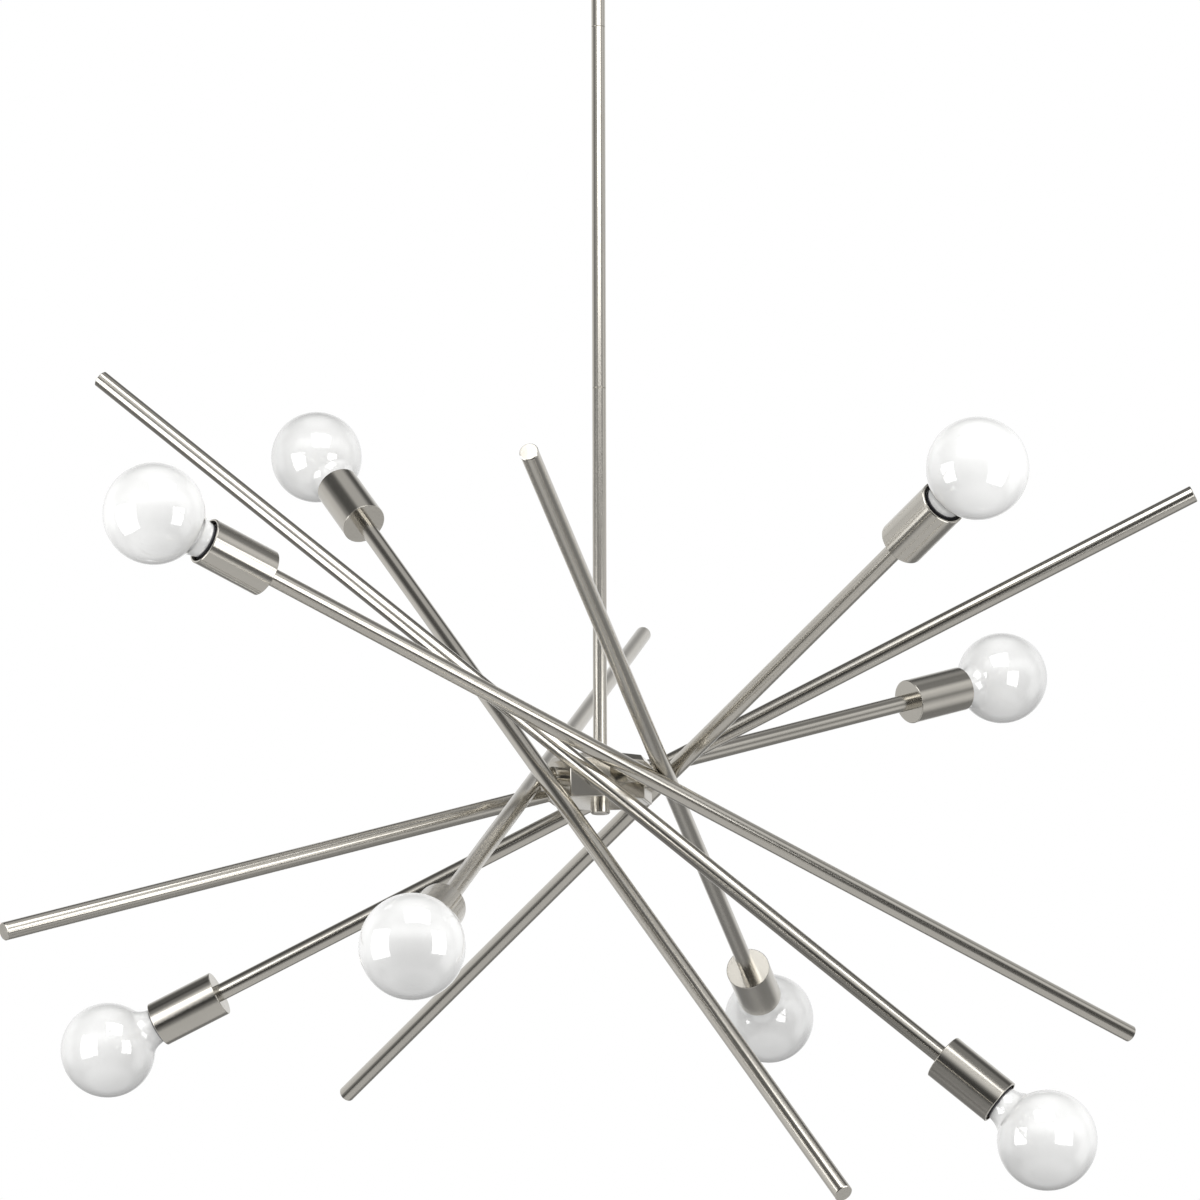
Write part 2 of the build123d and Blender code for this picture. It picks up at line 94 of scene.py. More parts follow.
def angle(name, degrees, about):
    """An angle, given in degrees."""
    return bpy.props.FloatProperty(
        name=name, description=about, default=math.radians(degrees), unit="ROTATION"
    )


def shade(name, default, about):
    """A colour."""
    return bpy.props.FloatVectorProperty(
        name=name, description=about, default=default, size=3, min=0.0, max=1.0, subtype="COLOR"
    )


def share(name, default, about):
    """A plain amount from 0 to 1."""
    return bpy.props.FloatProperty(
        name=name, description=about, default=default, min=0.0, max=1.0, subtype="FACTOR"
    )


class ArmSizes(bpy.types.PropertyGroup):
    """Sizes of one arm, measured along the rod from its pivot."""

    rod_diameter: length("Rod diameter", 0.0143, "Outside diameter of the straight tube")
    plain_end: length("Plain end", 0.537, "From the pivot to the closed plain end")
    cup_back: length("Cup back", 0.372, "From the pivot to the back of the lamp cup")
    cup_mouth: length("Cup mouth", 0.4305, "From the pivot to the rim of the lamp cup")
    cup_diameter: length("Cup diameter", 0.038, "Outside diameter of the lamp cup")
    cup_wall: length("Cup wall", 0.001, "Thickness of the cup's wall")
    cup_lip: length("Cup lip", 0.0005, "Bevel round the rim of the lamp cup")
    cup_roll: length("Cup roll", 0.0007, "How far the rim of the lamp cup is rolled inwards")
    socket_diameter: length("Socket diameter", 0.0348, "Outside diameter of the black lamp socket")
    socket_rim: length("Socket rim", 0.4259, "From the pivot to the front of the socket")
    lamp_seat: length("Lamp seat", 0.4015, "From the pivot to the floor of the socket")
    globe_diameter: length("Globe diameter", 0.0794, "Diameter of the opal globe")
    globe_centre: length("Globe centre", 0.4782, "From the pivot to the middle of the globe")
    neck_diameter: length("Neck diameter", 0.029, "Diameter of the glass where it enters the cup")
    neck_end: length("Neck end", 0.4275, "From the pivot to the end of the neck")
    neck_angle: angle("Neck angle", 32, "Where the neck leaves the globe, off the lamp's axis")
    neck_shadow: length("Neck shadow", 0.0018, "How far the dark foot of the neck shows in front of the cup")
    journal_bore: length("Journal bore", 0.0091, "Hole in the rod that turns on its pivot")


class HubSizes(bpy.types.PropertyGroup):
    """Sizes of the eight-sided hub and what is screwed to it."""

    flats: length("Across flats", 0.080, "Across the flats of the hub")
    top_flats: length("Top across flats", 0.074, "Across the flats of the top face, inside the bevel")
    bevel_height: length("Bevel height", 0.005, "Height of the sloped band under the top face")
    wall: length("Wall", 0.0025, "Thickness of the hub's wall round the base plate")
    plate: length("Base plate", 0.002, "Thickness of the plate let into the underside")
    corner: length("Corner rounding", 0.0015, "Rounding of the upright edges")
    turn: angle("Turn", 33.6, "Direction of the first pivot, seen from above")
    finial_diameter: length("Finial diameter", 0.016, "Diameter of the knob under the hub")
    collar_diameter: length("Collar diameter", 0.015, "Diameter of the collar between hub and rod")
    collar_start: length("Collar start", 0.0397, "From the stem's axis to the back of the collar")
    collar_end: length("Collar end", 0.04855, "From the stem's axis to the front of the collar")
    journal_diameter: length("Journal diameter", 0.009, "Shaft on which the rod turns")
    journal_end: length("Journal end", 0.058, "From the stem's axis to the end of the journal")
    stem_diameter: length("Stem diameter", 0.0115, "Outside diameter of the stem")
    stem_edge: length("Stem edge", 0.0003, "Bevel that draws a thin line at each joint of the stem")


class CeilingSizes(bpy.types.PropertyGroup):
    """Sizes of the cover against the ceiling."""

    canopy_diameter: length("Canopy diameter", 0.127, "Diameter of the ceiling cover")
    canopy_depth: length("Canopy depth", 0.025, "Depth of the ceiling cover")
    canopy_wall: length("Canopy wall", 0.0012, "Sheet thickness of the cover")
    canopy_round: length("Canopy rounding", 0.009, "Rounding of the cover's lower edge")
    canopy_hole: length("Canopy hole", 0.0188, "Hole for the swivel housing")
    nut_diameter: length("Nut diameter", 0.010, "Diameter of the two cap nuts")
    nut_height: length("Nut height", 0.008, "Height of the two cap nuts")


class Finishes(bpy.types.PropertyGroup):
    """Colours and brushing of the visible pieces."""

    nickel: shade("Satin nickel", (0.640, 0.612, 0.555), "Colour of the plated metal")
    brush_roughness: share("Brush roughness", 0.17, "Roughness of the brushed plating")
    brush_stretch: share("Brush stretch", 0.65, "How far reflections stretch across the brush marks")
    opal: shade("Opal glass", (0.930, 0.930, 0.920), "Colour of the globes")
    neck_edge: shade("Neck edge", (0.170, 0.170, 0.180), "Where the shadow on the neck starts")
    neck_foot: shade("Neck foot", (0.050, 0.050, 0.055), "The neck inside the cup, in shadow")
    socket: shade("Socket", (0.030, 0.030, 0.030), "Colour of the moulded socket")
    dust: shade("Dust", (0.100, 0.098, 0.095), "Pale dust in the grain of the socket")
    lamp_base: shade("Lamp base", (0.720, 0.720, 0.720), "Colour of the rolled screw base")
    zinc: shade("Zinc plating", (0.700, 0.700, 0.680), "Colour of the bracket and studs")
    green: shade("Green dye", (0.050, 0.350, 0.120), "Colour of the ground screw")
    brass: shade("Brass", (0.750, 0.580, 0.280), "Colour of the threaded fittings inside")


class StudioSettings(bpy.types.PropertyGroup):
    """Floor and camera."""

    floor_level: bpy.props.FloatProperty(
        name="Floor level", description="Height of the floor below the ceiling", default=-6.0, unit="LENGTH"
    )
    floor_radius: length("Floor radius", 6.0, "Radius of the round floor, which fades at its edge")
    floor_colour: shade("Floor colour", (0.90, 0.90, 0.90), "Colour of the floor")
    lens: bpy.props.FloatProperty(
        name="Lens", description="Focal length", default=167.01, min=1.0, unit="CAMERA"
    )


SETTING_GROUPS = {
    "chandelier_arm": ArmSizes,
    "chandelier_hub": HubSizes,
    "chandelier_ceiling": CeilingSizes,
    "chandelier_finish": Finishes,
    "chandelier_studio": StudioSettings,
}


# ---- the bench: shaping with modelling operators ----
FLAT_END = 0.75  # a face whose normal leans this much along the axis is a flat end
GRAIN_RADIUS = 0.01  # the brushing's pattern is laid round a cylinder of this radius
UV_PER_METRE = 10


def clear_bench():
    """Ends any editing and selects nothing, so that an operator acts only on what comes next."""
    if bpy.context.object and bpy.context.object.mode != "OBJECT":
        bpy.ops.object.mode_set(mode="OBJECT")
    bpy.ops.object.select_all(action="DESELECT")


def only(piece):
    """Makes one piece the selected and active one."""
    clear_bench()
    piece.select_set(True)
    bpy.context.view_layer.objects.active = piece


def ring(rise):
    """Extrudes the selected edges straight up or down."""
    bpy.ops.mesh.extrude_region_move(TRANSFORM_OT_translate={"value": (0, 0, rise)})


def close_pole(rise=0.0):
    """Closes the selected ring to a point on the axis."""
    ring(rise)
    bpy.ops.mesh.merge(type="CENTER")


def grow(radius, level, outline):
    """Extrudes the selected ring through the rest of an outline of (radius, level) pairs."""
    for next_radius, next_level in outline:
        if next_radius == 0:
            close_pole(next_level - level)
            return
        ring(next_level - level)
        scale = next_radius / radius
        bpy.ops.transform.resize(value=(scale, scale, 1), center_override=(0, 0, next_level))
        radius, level = next_radius, next_level


def open_rim():
    """Selects the edges that only one face has."""
    bpy.ops.mesh.select_all(action="DESELECT")
    bpy.ops.mesh.select_mode(type="EDGE")
    bpy.ops.mesh.select_non_manifold(
        extend=False, use_wire=False, use_boundary=True, use_multi_face=False,
        use_non_contiguous=False, use_verts=False,
    )


def face_outwards():
    """Merges doubles and points every face of the closed shape outwards."""
    bpy.ops.mesh.select_mode(type="VERT")
    bpy.ops.mesh.select_all(action="SELECT")
    bpy.ops.mesh.remove_doubles(threshold=1e-6)
    bpy.ops.mesh.normals_make_consistent(inside=False)


def turned(name, outline, sides=72, ease=0.0, steps=3):
    """A closed piece turned about the bench's upright axis from (radius, level) pairs, its edges eased."""
    clear_bench()
    (radius, level), rest = outline[0], outline[1:]
    bpy.ops.mesh.primitive_circle_add(
        vertices=sides, radius=radius, fill_type="NOTHING", location=(0, 0, level)
    )
    piece = bpy.context.object
    piece.name = piece.data.name = name
    bpy.ops.object.transform_apply(location=True, rotation=True, scale=True)
    bpy.ops.object.mode_set(mode="EDIT")
    bpy.ops.mesh.select_mode(type="EDGE")
    bpy.ops.mesh.select_all(action="SELECT")
    grow(radius, level, rest)
    open_rim()
    if rest[-1][0] == 0:
        close_pole()
    face_outwards()
    bpy.ops.object.mode_set(mode="OBJECT")
    finish_edges(piece, ease, steps)
    return piece


def finish_edges(piece, ease, steps=3, sharp=math.radians(20)):
    """Eases every edge sharper than an angle and shades the rest smooth."""
    only(piece)
    bpy.ops.object.shade_smooth()
    if ease:
        bevel = piece.modifiers.new("eased edges", "BEVEL")
        bevel.width = ease
        bevel.segments = steps
        bevel.limit_method = "ANGLE"
        bevel.angle_limit = sharp
        bevel.harden_normals = True
        bpy.ops.object.modifier_apply(modifier=bevel.name)


def lay_grain(piece):
    """Records the way of the brushing: U along the axis, or outwards on a flat end, and V round the axis."""
    mesh = piece.data
    mesh.attributes.new("grain_place", "FLOAT_VECTOR", "CORNER")
    mesh.uv_layers.new(name="grain")
    places, spans = mesh.attributes["grain_place"].data, mesh.uv_layers["grain"].data
    for face in mesh.polygons:
        flat = abs(face.normal.z) > FLAT_END
        middle = math.atan2(face.center.y, face.center.x)
        for corner in face.loop_indices:
            x, y, z = mesh.vertices[mesh.loops[corner].vertex_index].co
            radius = math.hypot(x, y)
            turn = math.atan2(y, x) if radius > 1e-5 else middle
            turn += FULL_TURN * round((middle - turn) / FULL_TURN)
            along = radius if flat else z
            spans[corner].uv = (along * UV_PER_METRE, turn / FULL_TURN)
            places[corner].vector = (math.cos(turn) * GRAIN_RADIUS, math.sin(turn) * GRAIN_RADIUS, along)


def paint(piece, material):
    """Gives a piece one material."""
    piece.data.materials.clear()
    piece.data.materials.append(material)


def settle(piece, body, slot, *nodes):
    """Ties a finished piece to its body and hides the pieces of the frame that it stands for; the slot that
    names its finish is not used.
    """
    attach(piece, body)
    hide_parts(*nodes)
    return piece


def place_copy(pattern, name, placement, body, slot, *nodes):
    """Puts a copy of a bench piece, with a mesh of its own, in its place on the chandelier."""
    piece = pattern.copy()
    piece.data = pattern.data.copy()
    piece.name = piece.data.name = name
    bpy.context.scene.collection.objects.link(piece)
    piece.data.transform(placement)
    return settle(piece, body, slot, *nodes)


def pivot_of(arm):
    """Where an arm turns, and the level direction away from the stem."""
    pivot = Vector(JOINTS[arm + "_turn"]["pos_m"])
    return pivot, Vector((pivot.x, pivot.y, 0)).normalized()


def arm_axes(arm):
    """Placement of one arm: the bench's +Z runs along the rod to the lamp, and +X away from the stem."""
    pivot, outward = pivot_of(arm)
    low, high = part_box(arm + "_rod")
    lampward = pivot - (low + high) / 2
    lampward -= outward * lampward.dot(outward)
    lampward.normalize()
    axes = Matrix((outward, lampward.cross(outward), lampward)).transposed()
    return Matrix.Translation(pivot) @ axes.to_4x4()


def each_arm(pattern, part, slot, original):
    """One copy of a bench piece for each of the eight arms, in place of the frame's own piece."""
    for arm in ARMS:
        place_copy(pattern, f"{arm}_{part}", arm_axes(arm), arm, slot, f"{arm}_{original}")
    bpy.data.objects.remove(pattern)


# ---- finishes ----
# Noise repeats per metre, across and along the axis.
FINE_MARKS = (60, 60, 2600)
BROAD_BANDS = (25, 25, 160)
SMUDGES = 14.0
# How far marks, bands and smudges move the plating's roughness.
MARK_ROUGHNESS = 0.004
BAND_ROUGHNESS = 0.006
SMUDGE_ROUGHNESS = (-0.01, 0.02)
SMUDGE_TINT = 0.94
WORN_TINT = 1.12
GLASS_IOR = 1.65
GLASS_COAT_IOR = 1.6
RIPPLE_TINT = 0.975


def node(tree, kind, inputs=None, **settings):
    """Adds a shader node with its settings and the values or links of its inputs."""
    made = tree.nodes.new(kind)
    for key, value in settings.items():
        setattr(made, key, value)
    for key, value in (inputs or {}).items():
        if isinstance(value, bpy.types.NodeSocket):
            tree.links.new(value, made.inputs[key])
        else:
            made.inputs[key].default_value = value
    return made


def new_finish(name):
    """An empty principled material, its node tree and its shader."""
    material = bpy.data.materials.new(name)
    material.use_nodes = True
    return material, material.node_tree, material.node_tree.nodes["Principled BSDF"]


def join(tree, source, target, socket):
    """Links an output to a named input."""
    tree.links.new(source, target.inputs[socket])


def opaque(colour, tint=1.0):
    """A colour with its alpha, made darker or lighter by a tint."""
    return (*(min(1.0, tint * channel) for channel in colour), 1.0)


def scaled(tree, source, scale):
    """Coordinates stretched by a Mapping node."""
    return node(tree, "ShaderNodeMapping", {"Vector": source, "Scale": scale}).outputs["Vector"]


def cloud(tree, place, scale, detail=4.0, roughness=0.5):
    """Soft noise."""
    inputs = {"Vector": place, "Scale": scale, "Detail": detail, "Roughness": roughness}
    return node(tree, "ShaderNodeTexNoise", inputs).outputs["Fac"]


def spread(tree, value, low, high, start=0.0, end=1.0):
    """Maps a value from one span to another."""
    inputs = {"Value": value, "From Min": start, "From Max": end, "To Min": low, "To Max": high}
    return node(tree, "ShaderNodeMapRange", inputs).outputs["Result"]


def blend_colour(tree, factor, first, second):
    """A colour between two."""
    mix = node(tree, "ShaderNodeMix", data_type="RGBA")
    for key, value in ((0, factor), (6, first), (7, second)):
        if isinstance(value, bpy.types.NodeSocket):
            tree.links.new(value, mix.inputs[key])
        else:
            mix.inputs[key].default_value = value
    return mix.outputs[2]


def combine(tree, operation, *values):
    """The result of a Math node on one or two values."""
    return node(tree, "ShaderNodeMath", dict(enumerate(values)), operation=operation).outputs[0]


def total(tree, *values):
    """Adds values."""
    result = values[0]
    for value in values[1:]:
        result = combine(tree, "ADD", result, value)
    return result


def bump(tree, height, strength, distance):
    """Surface relief."""
    inputs = {"Height": height, "Strength": strength, "Distance": distance}
    return node(tree, "ShaderNodeBump", inputs).outputs["Normal"]


def brushed_nickel(turned_piece=True):
    """Satin nickel: fine lathe brushing, faint handling marks and brighter worn edges."""
    name = "satin nickel, brushed" if turned_piece else "satin nickel, fittings"
    if name in bpy.data.materials:
        return bpy.data.materials[name]
    look = bpy.context.scene.chandelier_finish
    material, tree, shader = new_finish(name)
    place = node(tree, "ShaderNodeTexCoord").outputs["Object"]
    if turned_piece:
        grain = node(tree, "ShaderNodeAttribute", attribute_name="grain_place").outputs["Vector"]
    else:
        grain = place
    marks = cloud(tree, scaled(tree, grain, FINE_MARKS), 1.0, detail=3.0, roughness=0.6)
    bands = cloud(tree, scaled(tree, grain, BROAD_BANDS), 1.0, detail=2.0)
    smudges = cloud(tree, place, SMUDGES, detail=5.0, roughness=0.55)
    edges = node(tree, "ShaderNodeNewGeometry").outputs["Pointiness"]
    worn = spread(tree, edges, 0.0, 1.0, start=0.52, end=0.60)
    plate = blend_colour(tree, spread(tree, smudges, 0.0, 1.0, start=0.35, end=0.75),
                         opaque(look.nickel), opaque(look.nickel, SMUDGE_TINT))
    bright = blend_colour(tree, worn, plate, opaque(look.nickel, WORN_TINT))
    join(tree, bright, shader, "Base Color")
    low, high = look.brush_roughness - MARK_ROUGHNESS, look.brush_roughness + MARK_ROUGHNESS
    roughness = total(tree, spread(tree, marks, low, high, start=0.3, end=0.7),
                      spread(tree, bands, -BAND_ROUGHNESS, BAND_ROUGHNESS, start=0.3, end=0.7),
                      spread(tree, smudges, *SMUDGE_ROUGHNESS, start=0.3, end=0.8))
    join(tree, roughness, shader, "Roughness")
    join(tree, bump(tree, bands, strength=0.02, distance=0.00002), shader, "Normal")
    shader.inputs["Metallic"].default_value = 1.0
    if turned_piece:
        shader.inputs["Anisotropic"].default_value = look.brush_stretch
        tangent = node(tree, "ShaderNodeTangent", direction_type="UV_MAP", uv_map="grain")
        join(tree, tangent.outputs["Tangent"], shader, "Tangent")
    return material


def plate_nickel(piece):
    """Brushes and plates a new piece."""
    lay_grain(piece)
    paint(piece, brushed_nickel())


def opal_glass():
    """Opal globe: white glass with a wet gloss, faint ripples, a little dust and its neck in shadow."""
    if "opal glass" in bpy.data.materials:
        return bpy.data.materials["opal glass"]
    look = bpy.context.scene.chandelier_finish
    material, tree, shader = new_finish("opal glass")
    place = node(tree, "ShaderNodeTexCoord").outputs["Object"]
    ripple = cloud(tree, place, 35.0, detail=2.0)
    dust = cloud(tree, place, 900.0, detail=2.0)
    tone = blend_colour(tree, spread(tree, ripple, 0.0, 1.0, start=0.3, end=0.7),
                        opaque(look.opal), opaque(look.opal, RIPPLE_TINT))
    foot = node(tree, "ShaderNodeAttribute", attribute_name="neck_shadow").outputs["Fac"]
    deep = blend_colour(tree, spread(tree, foot, 0.0, 1.0, start=0.3, end=1.0),
                        opaque(look.neck_edge), opaque(look.neck_foot))
    tone = blend_colour(tree, spread(tree, foot, 0.0, 1.0, start=0.0, end=0.15), tone, deep)
    join(tree, tone, shader, "Base Color")
    roughness = total(tree, spread(tree, dust, 0.03, 0.06, start=0.3, end=0.8),
                      spread(tree, ripple, 0.0, 0.01))
    join(tree, roughness, shader, "Roughness")
    join(tree, bump(tree, ripple, strength=0.02, distance=0.0004), shader, "Normal")
    shader.inputs["IOR"].default_value = GLASS_IOR
    shader.inputs["Specular IOR Level"].default_value = 1.0
    shader.inputs["Coat Weight"].default_value = 1.0
    shader.inputs["Coat IOR"].default_value = GLASS_COAT_IOR
    return material


def moulded_black():
    """Moulded phenolic: black, with a fine matt skin and pale dust in its grain."""
    if "moulded black" in bpy.data.materials:
        return bpy.data.materials["moulded black"]
    look = bpy.context.scene.chandelier_finish
    material, tree, shader = new_finish("moulded black")
    place = node(tree, "ShaderNodeTexCoord").outputs["Object"]
    skin = cloud(tree, place, 1800.0, detail=3.0)
    dust = cloud(tree, place, 120.0, detail=4.0)
    tone = blend_colour(tree, spread(tree, dust, 0.0, 0.35, start=0.45, end=0.8),
                        opaque(look.socket), opaque(look.dust))
    join(tree, tone, shader, "Base Color")
    join(tree, spread(tree, skin, 0.42, 0.62), shader, "Roughness")
    join(tree, bump(tree, skin, strength=0.25, distance=0.00005), shader, "Normal")
    return material


def plain_metal(name, colour, roughness=0.34, grain=220.0, relief=0.10, stretch=(1, 1, 1), tarnish=0.85):
    """A plain fitting's metal: mottled plating with patches of tarnish."""
    if name in bpy.data.materials:
        return bpy.data.materials[name]
    material, tree, shader = new_finish(name)
    place = node(tree, "ShaderNodeTexCoord").outputs["Object"]
    mottle = cloud(tree, scaled(tree, place, stretch), grain, detail=4.0)
    stain = cloud(tree, place, 40.0, detail=5.0)
    tone = blend_colour(tree, spread(tree, stain, 0.0, 1.0, start=0.35, end=0.7),
                        opaque(colour), opaque(colour, tarnish))
    join(tree, tone, shader, "Base Color")
    smooth, rough = roughness - 0.08, roughness + 0.10
    join(tree, spread(tree, mottle, smooth, rough, start=0.3, end=0.7), shader, "Roughness")
    join(tree, bump(tree, mottle, relief, distance=0.0001), shader, "Normal")
    shader.inputs["Metallic"].default_value = 1.0
    return material


def plain_brass(look):
    """Brass of the nuts, screw shells and contacts."""
    return plain_metal("plain brass", look.brass, roughness=0.3)


def threaded_metal(name, colour, coarseness=0.0007):
    """Metal with a fine rolled thread along the upright axis, its ridges 0.63 of the coarseness apart, and
    painted shade that darkens the thread's roots.
    """
    if name in bpy.data.materials:
        return bpy.data.materials[name]
    material, tree, shader = new_finish(name)
    place = node(tree, "ShaderNodeTexCoord").outputs["Object"]
    inputs = {"Vector": place, "Scale": 0.5 / coarseness, "Distortion": 0.0}
    thread = node(tree, "ShaderNodeTexWave", inputs, wave_type="BANDS", bands_direction="Z")
    stain = cloud(tree, place, 60.0, detail=4.0)
    # Painted shade: the roots of the thread are painted darker than its crests.
    root_shade = 0.45
    tone = blend_colour(tree, thread.outputs["Fac"], opaque(colour, root_shade), opaque(colour))
    join(tree, tone, shader, "Base Color")
    join(tree, spread(tree, stain, 0.25, 0.45), shader, "Roughness")
    join(tree, bump(tree, thread.outputs["Fac"], strength=0.6, distance=0.0004), shader, "Normal")
    shader.inputs["Metallic"].default_value = 1.0
    return material


def repaint(material, *nodes):
    """Gives pieces of the frame that keep their shape a finish of their own."""
    for name in nodes:
        for slot in frame["nodes"][name].material_slots:
            slot.material = material


# ---- pieces ----
END_CHAMFER = 0.0006  # round the plain end of a rod
ROD_RINGS = (-0.35, -0.18, -0.016, 0.016, 0.15, 0.28)  # rings of points along a rod, from its pivot
DRILL_LENGTH = 0.0143
BORE_FLOOR = 0.0023  # how far the pivot's bore reaches past the rod's axis
CUP_CHAMFER = 0.0005  # round the back of a cup
CUP_RING = 0.02  # from the back of a cup to the ring of points along it
CUP_FLOOR = 0.0016  # thickness of a cup's back
SOCKET_GAP = 0.0001  # between a cup's back and its socket
PLATE_GAP = 0.0001  # round the hub's base plate and over it
DOWNWARD = -0.9  # a face whose normal points down more than this is the underside


class CHANDELIER_OT_rods(bpy.types.Operator):
    """Turn the straight tube of each arm, with its closed plain end and the bore for its pivot"""

    bl_idname = "chandelier.rods"
    bl_label = "Rods"

    def execute(self, context):
        size = context.scene.chandelier_arm
        radius = size.rod_diameter / 2
        outline = [(radius - END_CHAMFER, -size.plain_end), (radius, -size.plain_end + END_CHAMFER)]
        outline += [(radius, level) for level in (*ROD_RINGS, size.cup_back)]
        rod = turned("rod", outline + [(0, size.cup_back)], sides=96)
        clear_bench()
        bpy.ops.mesh.primitive_cylinder_add(
            vertices=48, radius=size.journal_bore / 2, depth=DRILL_LENGTH,
            location=(BORE_FLOOR - DRILL_LENGTH / 2, 0, 0), rotation=(0, math.pi / 2, 0),
        )
        drill = context.object
        bore = rod.modifiers.new("journal bore", "BOOLEAN")
        bore.object = drill
        only(rod)
        bpy.ops.object.modifier_apply(modifier=bore.name)
        bpy.data.objects.remove(drill)
        finish_edges(rod, ease=0.0002, steps=2, sharp=math.radians(30))
        plate_nickel(rod)
        each_arm(rod, "rod_tube", "satin_nickel", "rod")
        return {"FINISHED"}


class CHANDELIER_OT_cups(bpy.types.Operator):
    """Spin the round cup that shrouds each lamp socket"""

    bl_idname = "chandelier.cups"
    bl_label = "Lamp cups"

    def execute(self, context):
        size = context.scene.chandelier_arm
        outer = size.cup_diameter / 2
        inner = outer - size.cup_wall
        back, mouth, lip, roll = size.cup_back, size.cup_mouth, size.cup_lip, size.cup_roll
        outline = [(outer - CUP_CHAMFER, back), (outer, back + CUP_CHAMFER), (outer, back + CUP_RING),
                   (outer, mouth - lip), (outer - lip, mouth),
                   (inner - roll, mouth), (inner - roll, mouth - roll), (inner, mouth - 2 * roll),
                   (inner, back + CUP_FLOOR), (0, back + CUP_FLOOR)]
        cup = turned("cup", outline, sides=96, ease=0.00018, steps=2)
        plate_nickel(cup)
        each_arm(cup, "cup_shell", "satin_nickel", "cup")
        return {"FINISHED"}


class CHANDELIER_OT_sockets(bpy.types.Operator):
    """Mould the black socket of each arm, with its screw shell and centre contact"""

    bl_idname = "chandelier.sockets"
    bl_label = "Lamp sockets"

    def execute(self, context):
        size = context.scene.chandelier_arm
        brass = plain_brass(context.scene.chandelier_finish)
        outer = size.socket_diameter / 2
        groove, bore = outer - 0.0006, 0.0137
        back, rim, floor = size.cup_back + CUP_FLOOR + SOCKET_GAP, size.socket_rim, size.lamp_seat
        body = [(outer, back), (outer, rim - 0.006), (groove, rim - 0.0055), (groove, rim - 0.0045),
                (outer, rim - 0.004), (outer, rim), (bore, rim), (bore, floor), (0, floor)]
        socket = turned("socket", body, sides=64, ease=0.0003, steps=2)
        paint(socket, moulded_black())
        each_arm(socket, "socket_body", "black_socket", "socket")

        outside, inside, end = 0.01365, 0.01325, rim - 0.001
        shell = [(outside, floor), (outside, end), (inside, end), (inside, floor), (outside, floor)]
        screw = turned("screw shell", shell, sides=64)
        paint(screw, brass)
        each_arm(screw, "screw_shell", "plain_brass", "socket")

        wide, narrow, shoulder, top = 0.0033, 0.0026, floor + 0.0035, floor + 0.0039
        tip = [(wide, floor), (wide, shoulder), (narrow, top), (0, top)]
        contact = turned("contact", tip, sides=32, ease=0.0002, steps=2)
        paint(contact, brass)
        each_arm(contact, "contact", "plain_brass", "socket")
        return {"FINISHED"}


class CHANDELIER_OT_globes(bpy.types.Operator):
    """Blow the opal globe of each lamp, cut it open and draw its neck"""

    bl_idname = "chandelier.globes"
    bl_label = "Opal globes"

    def execute(self, context):
        size = context.scene.chandelier_arm
        radius, centre = size.globe_diameter / 2, size.globe_centre
        cut = centre - radius * math.cos(size.neck_angle)
        clear_bench()
        bpy.ops.mesh.primitive_uv_sphere_add(
            segments=96, ring_count=64, radius=radius, location=(0, 0, centre)
        )
        globe = context.object
        globe.name = globe.data.name = "globe"
        bpy.ops.object.transform_apply(location=True, rotation=True, scale=True)
        bpy.ops.object.mode_set(mode="EDIT")
        bpy.ops.mesh.select_all(action="SELECT")
        bpy.ops.mesh.bisect(plane_co=(0, 0, cut), plane_no=(0, 0, 1), clear_inner=True)
        open_rim()
        meet = Vector((radius * math.sin(size.neck_angle), cut))
        end = Vector((size.neck_diameter / 2, size.neck_end))
        reach = (meet - end).length
        leave = Vector((-math.cos(size.neck_angle), -math.sin(size.neck_angle))) * reach
        arrive = Vector((0, -1)) * reach
        steps = 20
        neck = []
        for step in range(1, steps + 1):
            t = step / steps
            point = (2 * t**3 - 3 * t**2 + 1) * meet + (t**3 - 2 * t**2 + t) * leave
            point += (3 * t**2 - 2 * t**3) * end + (t**3 - t**2) * arrive
            neck.append(tuple(point))
        grow(meet.x, meet.y, neck + [(0, size.neck_end)])
        face_outwards()
        bpy.ops.object.mode_set(mode="OBJECT")
        finish_edges(globe, ease=0.0003, steps=2, sharp=math.radians(40))
        shadow = globe.data.attributes.new("neck_shadow", "FLOAT", "POINT")
        for vertex, mark in zip(globe.data.vertices, shadow.data):
            depth = (size.cup_mouth + size.neck_shadow - vertex.co.z) / size.neck_shadow
            mark.value = max(0.0, min(1.0, depth))
        paint(globe, opal_glass())
        each_arm(globe, "globe", "opal_glass", "bulb_glass")
        return {"FINISHED"}


class CHANDELIER_OT_pivots(bpy.types.Operator):
    """Turn the collared studs that carry the arms, one square to each side of the hub"""

    bl_idname = "chandelier.pivots"
    bl_label = "Pivot collars"

    def execute(self, context):
        size = context.scene.chandelier_hub
        collar, journal = size.collar_diameter / 2, size.journal_diameter / 2
        outline = [(collar, size.collar_start), (collar, size.collar_end), (journal, size.collar_end),
                   (journal, size.journal_end), (0, size.journal_end)]
        stud = turned("pivot", outline, sides=72, ease=0.0003)
        plate_nickel(stud)
        for arm in ARMS:
            pivot, outward = pivot_of(arm)
            across = Vector((0, 0, 1)).cross(outward)
            axes = Matrix((Vector((0, 0, -1)), across, outward)).transposed().to_4x4()
            placement = Matrix.Translation((0, 0, pivot.z)) @ axes
            place_copy(stud, f"{arm}_pivot", placement, "stem_and_hub", "satin_nickel", "arm_pivots")
        bpy.data.objects.remove(stud)
        return {"FINISHED"}


